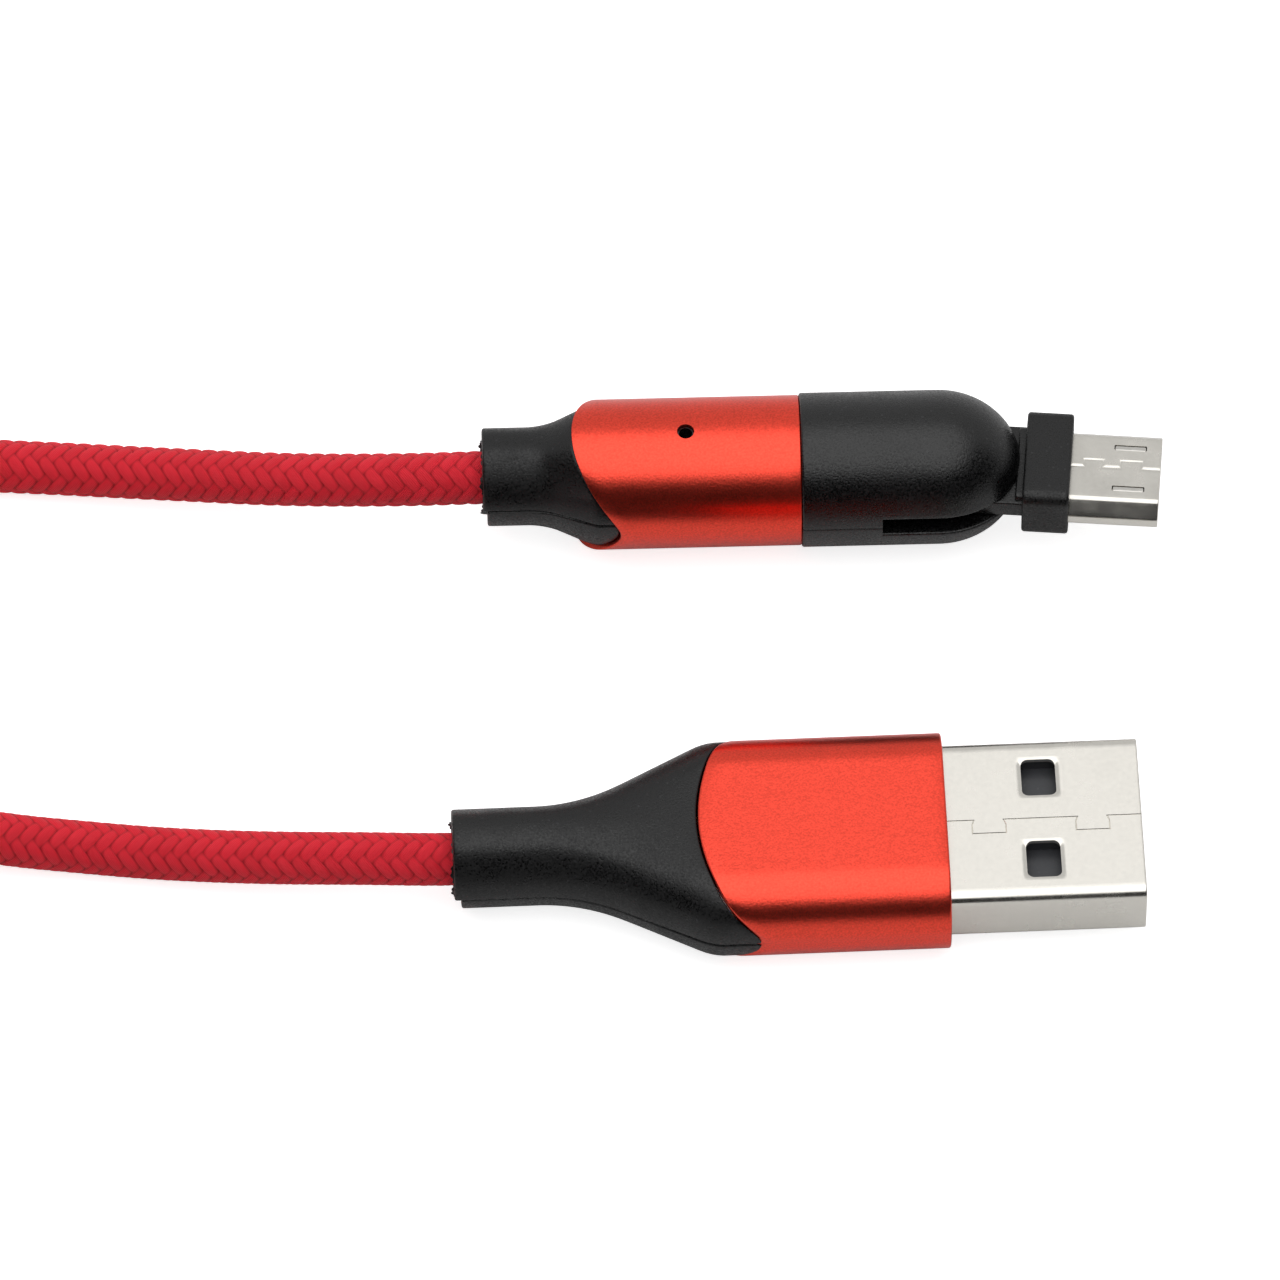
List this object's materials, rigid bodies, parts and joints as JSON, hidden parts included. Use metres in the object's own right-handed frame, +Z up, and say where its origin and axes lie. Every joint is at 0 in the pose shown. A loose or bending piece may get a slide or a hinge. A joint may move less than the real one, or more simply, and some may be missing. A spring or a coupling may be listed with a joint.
{
  "type": "charging cable",
  "caption": "Braided USB-A charging cable with a micro-USB plug on a 180-degree swivel head, red metal sleeves and black boots; spare cable folded in a tied hank.",
  "frame": {"origin": "centre of the two ends' box (without the free cable) on the surface they lie on", "axes": "+X along the USB-A plug towards its mouth, +Y towards the micro end, +Z up"},
  "size_m": [0.1713, 0.0443, 0.0117],
  "materials": {
    "nickel": "bright nickel plating on stamped sheet",
    "black_insulator": "moulded insulator",
    "gold": "gold flash",
    "natural_mould": "natural polyethylene inner mould",
    "red_anodised": "fine-blasted and anodised red",
    "black_plastic": "matte, finely textured moulding",
    "crimp_steel": "plain steel",
    "spring_steel": "bright spring strip",
    "copper_cores": "insulated cores",
    "led_lens": "clear light chip",
    "circuit_board": "solder-masked board",
    "red_braid": "plaited nylon yarn",
    "tie_fabric": "hook-and-loop strap"
  },
  "bodies": {
    "body": {"usb_shell": "nickel", "usb_insulator": "black_insulator", "usb_contacts": "gold", "usb_inner_mould": "natural_mould", "usb_sleeve": "red_anodised", "usb_boot_upper": "black_plastic", "usb_boot_lower": "black_plastic", "usb_cable_clamp": "crimp_steel", "usb_cores": "copper_cores", "head_upper": "black_plastic", "head_lower": "black_plastic", "pivot_pin": "crimp_steel", "micro_inner_mould": "natural_mould", "micro_sleeve": "red_anodised", "status_led": "led_lens", "led_board": "circuit_board", "micro_boot_upper": "black_plastic", "micro_boot_lower": "black_plastic", "micro_cable_clamp": "crimp_steel", "micro_cores": "copper_cores", "micro_lead": "red_braid", "usb_lead": "red_braid", "cable_hank": "red_braid", "hank_tie": "tie_fabric"},
    "plug": {"swivel_arm": "black_plastic", "plug_collar": "black_plastic", "micro_shell": "nickel", "micro_insulator": "black_insulator", "micro_contacts": "gold", "micro_latches": "spring_steel"}
  },
  "joints": [
    {"name": "plug_swivel", "type": "hinge", "parent": "body", "child": "plug", "pos_m": [0.00888, 0.01481, 0.00497], "axis": [0.0015, 0.0871, 0.9962], "range_deg": [-84.3, 95.7]}
  ]
}
